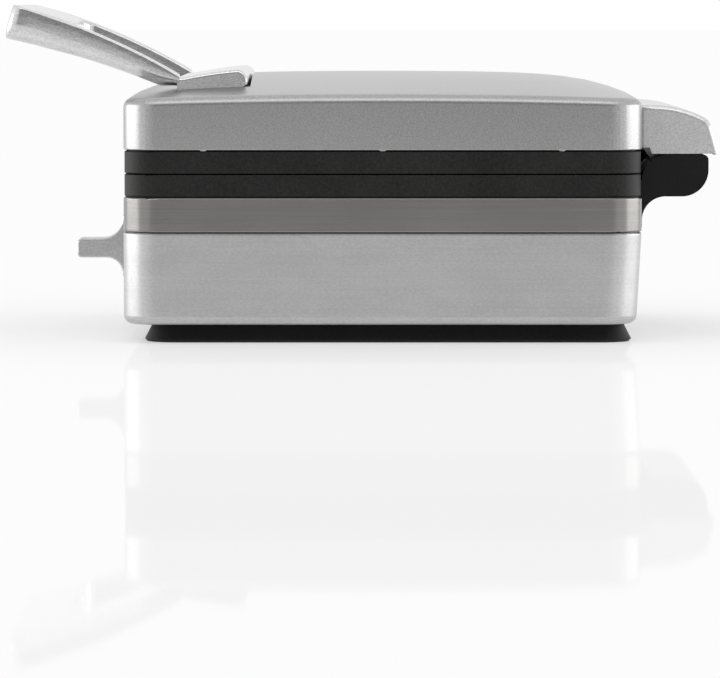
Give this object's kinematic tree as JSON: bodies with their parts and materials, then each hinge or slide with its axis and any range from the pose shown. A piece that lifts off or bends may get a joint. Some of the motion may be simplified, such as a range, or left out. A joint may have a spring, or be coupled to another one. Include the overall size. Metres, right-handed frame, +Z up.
{
  "type": "waffle maker",
  "caption": "Low square waffle maker with a domed hinged lid, a rising loop handle in front, a small grip tab under it and a rear hinge; studded plates bake waffles between them.",
  "frame": {"origin": "on the table under the middle of the body's outline", "axes": "+Z up, the front and the handle towards -Y, the hinge towards +Y"},
  "size_m": [0.27, 0.3489, 0.1626],
  "materials": {
    "lid_silver": "silver metallic paint",
    "base_silver": "satin silver finish",
    "handle_silver": "satin cast metal",
    "stainless": "horizontally brushed",
    "frame_black": "matte, fine grain",
    "black_plastic": "satin moulded",
    "hinge_black": "satin moulded",
    "nonstick": "black non-stick coating",
    "rubber": "matte rubber",
    "screw_steel": "zinc plated",
    "pin_steel": "ground steel",
    "element_steel": "heat-tinted tube",
    "reflector_aluminium": "bright sheet",
    "post_brass": "turned brass",
    "ceramic_black": "phenolic body",
    "fuse_white": "sleeved body",
    "terminal_white": "moulded terminal block",
    "lens_amber": "tinted clear lens",
    "board_green": "coated circuit board"
  },
  "bodies": {
    "base": {"plinth": "black_plastic", "rubber_feet": "rubber", "plinth_screws": "screw_steel", "base_shell": "base_silver", "steel_band": "stainless", "lower_frame": "frame_black", "lower_frame_screws": "screw_steel", "lower_plate": "nonstick", "lower_plate_screws": "screw_steel", "lower_element": "element_steel", "lower_reflector": "reflector_aluminium", "lower_posts": "post_brass", "lower_post_screws": "screw_steel", "thermostat": "ceramic_black", "thermal_fuse": "fuse_white", "terminal_block": "terminal_white", "indicator_lenses": "lens_amber", "lamp_board": "board_green", "front_grip": "handle_silver", "front_grip_screws": "screw_steel", "hinge_block": "hinge_black", "hinge_block_screws": "screw_steel", "hinge_pins": "pin_steel", "pin_clips": "pin_steel", "cord_grommet": "rubber"},
    "lid": {"lid_shell": "lid_silver", "handle": "handle_silver", "handle_screws": "screw_steel", "upper_frame": "frame_black", "upper_plate": "nonstick", "upper_plate_screws": "screw_steel", "upper_element": "element_steel", "upper_reflector": "reflector_aluminium", "upper_posts": "post_brass", "upper_post_screws": "screw_steel", "hinge_cover": "lid_silver", "hinge_cover_screws": "screw_steel", "hinge_lugs": "pin_steel", "hinge_lug_screws": "screw_steel", "lid_frame_screws": "screw_steel"}
  },
  "joints": [
    {"name": "lid_hinge", "type": "hinge", "parent": "base", "child": "lid", "pos_m": [0, 0.144, 0.083], "axis": [-1, 0, 0], "range_deg": [0, 105]}
  ]
}
